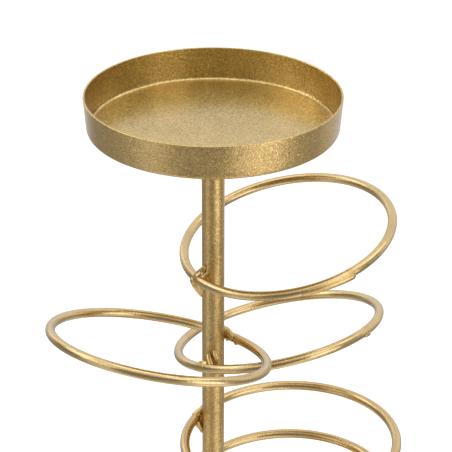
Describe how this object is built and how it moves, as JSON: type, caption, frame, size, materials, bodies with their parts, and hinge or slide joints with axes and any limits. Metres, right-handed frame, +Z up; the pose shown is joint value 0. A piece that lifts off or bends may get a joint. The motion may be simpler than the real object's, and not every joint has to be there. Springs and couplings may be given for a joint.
{
  "type": "candle holder",
  "caption": "Gold metal candle holder: shallow round pan on a straight stem, with tilted wire rings welded round the stem and a round plate base.",
  "frame": {"origin": "centre of the felt pad's underside, on the stem's axis, where the holder meets the table", "axes": "+Z up along the stem to the candle pan, +X to the right in the picture, -Y towards the picture's camera"},
  "size_m": [0.1423, 0.1349, 0.25],
  "materials": {
    "pan_paint": "satin metallic gold paint with fine flake",
    "stem_paint": "satin metallic gold paint with fine flake",
    "base_paint": "satin metallic gold paint with fine flake",
    "ring_paint": "satin metallic gold paint with fine flake",
    "weld_paint": "gold paint over rough weld metal",
    "felt": "matt dark felt"
  },
  "bodies": {
    "root": {"candle_pan": "pan_paint", "stem": "stem_paint", "base_plate": "base_paint", "felt_pad": "felt", "pan_weld": "weld_paint", "base_weld": "weld_paint", "wire_ring_1": "ring_paint", "wire_ring_2": "ring_paint", "wire_ring_3": "ring_paint", "wire_ring_4": "ring_paint", "wire_ring_5": "ring_paint", "wire_ring_6": "ring_paint", "wire_ring_7": "ring_paint", "wire_ring_8": "ring_paint", "ring_weld_1": "weld_paint", "ring_weld_2": "weld_paint", "ring_weld_3": "weld_paint", "ring_weld_4": "weld_paint", "ring_weld_5": "weld_paint", "ring_weld_6": "weld_paint", "ring_weld_7": "weld_paint", "ring_weld_8": "weld_paint", "seam_weld_1": "weld_paint", "seam_weld_2": "weld_paint", "seam_weld_3": "weld_paint", "seam_weld_4": "weld_paint", "seam_weld_5": "weld_paint", "seam_weld_6": "weld_paint", "seam_weld_7": "weld_paint", "seam_weld_8": "weld_paint"}
  },
  "joints": []
}
